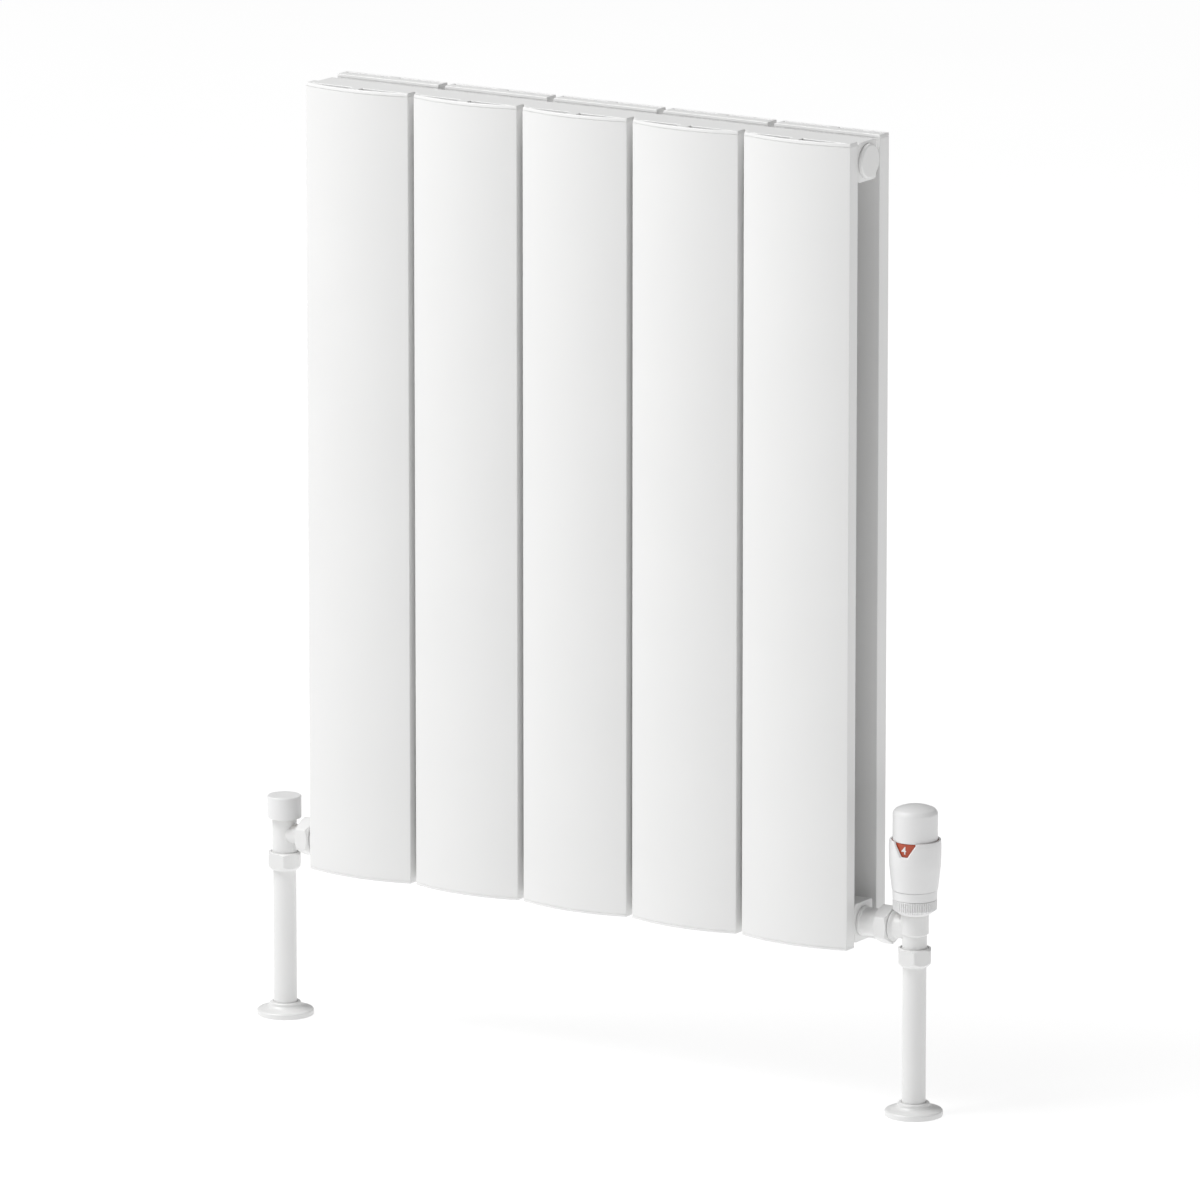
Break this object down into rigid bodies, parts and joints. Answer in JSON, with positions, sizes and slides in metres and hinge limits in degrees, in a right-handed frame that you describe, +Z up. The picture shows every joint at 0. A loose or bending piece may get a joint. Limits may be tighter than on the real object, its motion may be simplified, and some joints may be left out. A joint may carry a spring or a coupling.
{
  "type": "radiator with valve",
  "caption": "Wall-hung double-row radiator with upright curved sections, a thermostatic valve on one side and a lockshield valve on the other, on floor pipes.",
  "frame": {"origin": "on the wall plane behind the brackets, at floor level, at the middle of the radiator's width", "axes": "+X along the radiator towards the thermostatic valve, +Y towards the wall, +Z up"},
  "size_m": [0.5951, 0.0925, 0.723],
  "materials": {
    "white_paint": "satin white powder coat on aluminium",
    "white_enamel": "satin white enamel on brass fittings",
    "white_plastic": "satin white moulded plastic",
    "red_plastic": "orange-red moulded plastic with a white scale",
    "black_rubber": "matt black",
    "brass": "turned",
    "copper": "drawn copper tube",
    "steel": "stainless",
    "zinc_steel": "zinc plated",
    "nylon": "natural nylon"
  },
  "bodies": {
    "radiator": {"front_section_1": "white_paint", "front_section_2": "white_paint", "front_section_3": "white_paint", "front_section_4": "white_paint", "front_section_5": "white_paint", "rear_section_1": "white_paint", "rear_section_2": "white_paint", "rear_section_3": "white_paint", "rear_section_4": "white_paint", "rear_section_5": "white_paint", "top_manifold": "white_paint", "bottom_manifold": "white_paint", "blanking_plug": "white_paint", "blanking_plug_seal": "black_rubber", "air_vent_plug": "white_paint", "air_vent_seal": "black_rubber", "upper_bracket_left": "zinc_steel", "upper_bracket_right": "zinc_steel", "lower_bracket_left": "zinc_steel", "lower_bracket_right": "zinc_steel", "bracket_pad_left": "nylon", "bracket_pad_right": "nylon", "left_tail_piece": "white_enamel", "left_tail_seal": "black_rubber", "left_union_nut": "white_enamel", "left_compression_nut": "white_enamel", "left_olive": "brass", "left_pipe": "copper", "left_pipe_sleeve": "white_enamel", "right_tail_piece": "white_enamel", "right_tail_seal": "black_rubber", "right_union_nut": "white_enamel", "right_compression_nut": "white_enamel", "right_olive": "brass", "right_pipe": "copper", "right_pipe_sleeve": "white_enamel", "lockshield_body": "white_enamel", "lockshield_gland": "brass", "thermostatic_valve_body": "white_enamel", "valve_insert": "brass", "valve_gland_nut": "brass", "valve_pin_seal": "black_rubber", "valve_return_spring": "steel", "thermostat_base": "white_plastic", "thermostat_skirt": "white_plastic"},
    "left_floor_plate": {"left_floor_plate": "white_enamel"},
    "right_floor_plate": {"right_floor_plate": "white_enamel"},
    "bleed_screw": {"bleed_screw": "brass"},
    "lockshield_cap": {"lockshield_cap": "white_plastic"},
    "lockshield_spindle": {"lockshield_spindle": "brass"},
    "lockshield_disc": {"lockshield_disc": "brass", "lockshield_disc_washer": "black_rubber"},
    "thermostat_collar": {"thermostat_collar": "white_plastic"},
    "thermostat_knob": {"thermostat_knob": "white_plastic", "thermostat_scale_ring": "red_plastic"},
    "thermostat_sensor": {"thermostat_sensor": "brass", "thermostat_overtravel_spring": "steel"},
    "valve_pin": {"valve_pin": "steel", "valve_pin_washer": "black_rubber"}
  },
  "joints": [
    {"name": "thermostat_knob_turn", "type": "hinge", "parent": "radiator", "child": "thermostat_knob", "pos_m": [0.2785, -0.06105, 0.2], "axis": [0, 0, 1], "range_deg": [-220.5, 55.5]},
    {"name": "thermostat_sensor_travel", "type": "slide", "parent": "radiator", "child": "thermostat_sensor", "axis": [0, 0, 1], "range_m": [-0.00192, 0.00048], "deforming": ["thermostat_overtravel_spring"]},
    {"name": "valve_pin_travel", "type": "slide", "parent": "radiator", "child": "valve_pin", "axis": [0, 0, 1], "range_m": [-0.00192, 0.00048], "deforming": ["valve_return_spring"]},
    {"name": "thermostat_collar_turn", "type": "hinge", "parent": "radiator", "child": "thermostat_collar", "pos_m": [0.2785, -0.06105, 0.157], "axis": [0, 0, 1], "range_deg": [0, 720]},
    {"name": "lockshield_cap_pull", "type": "slide", "parent": "radiator", "child": "lockshield_cap", "axis": [0, 0, 1], "range_m": [0, 0.03]},
    {"name": "lockshield_spindle_turn", "type": "hinge", "parent": "radiator", "child": "lockshield_spindle", "pos_m": [-0.2736, -0.06105, 0.15], "axis": [0, 0, 1], "range_deg": [-541, 361]},
    {"name": "lockshield_disc_travel", "type": "slide", "parent": "radiator", "child": "lockshield_disc", "axis": [0, 0, 1], "range_m": [-0.00225, 0.0015]},
    {"name": "bleed_screw_turn", "type": "hinge", "parent": "radiator", "child": "bleed_screw", "pos_m": [-0.235, -0.06105, 0.7069], "axis": [-1, 0, 0], "range_deg": [0, 540]},
    {"name": "left_floor_plate_lift", "type": "slide", "parent": "radiator", "child": "left_floor_plate", "axis": [0, 0, 1], "range_m": [0, 0.08]},
    {"name": "right_floor_plate_lift", "type": "slide", "parent": "radiator", "child": "right_floor_plate", "axis": [0, 0, 1], "range_m": [0, 0.08]}
  ],
  "couplings": [
    {"joint": "thermostat_knob_turn", "follows": "thermostat_sensor_travel", "rad_per_m": 2000},
    {"joint": "valve_pin_travel", "follows": "thermostat_sensor_travel", "ratio": 1},
    {"joint": "lockshield_spindle_turn", "follows": "lockshield_disc_travel", "rad_per_m": 4188.8}
  ]
}
